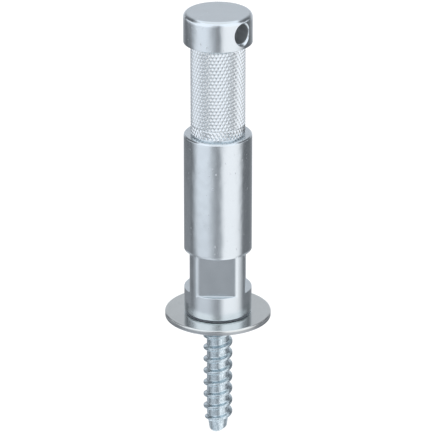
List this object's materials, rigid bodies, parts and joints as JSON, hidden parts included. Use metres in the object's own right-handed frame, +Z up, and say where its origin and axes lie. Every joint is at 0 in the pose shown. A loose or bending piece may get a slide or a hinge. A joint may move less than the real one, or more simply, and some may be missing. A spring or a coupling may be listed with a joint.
{
  "type": "lighting spigot with wood screw",
  "caption": "Steel lighting spigot with cross-drilled head, knurled neck, barrel, spanner flats and a captive washer over a wood screw.",
  "frame": {"origin": "on the pin's axis at the timber's surface, which is the underside of the captive washer", "axes": "+Z up along the pin towards its cross-drilled head; the front spanner flat faces -Y; +X to the right of it"},
  "size_m": [0.025, 0.025, 0.1059],
  "materials": {
    "pin_steel": "fine turned, bright",
    "washer_steel": "bright, barrelled",
    "screw_zinc": "bright zinc, faint blue"
  },
  "bodies": {
    "pin_and_screw": {"spigot_pin": "pin_steel", "wood_screw": "screw_zinc"},
    "washer": {"captive_washer": "washer_steel"}
  },
  "joints": [
    {"name": "washer_spin", "type": "hinge", "parent": "pin_and_screw", "child": "washer", "pos_m": [0, 0, 0], "axis": [0, 0, 1], "continuous": true}
  ]
}
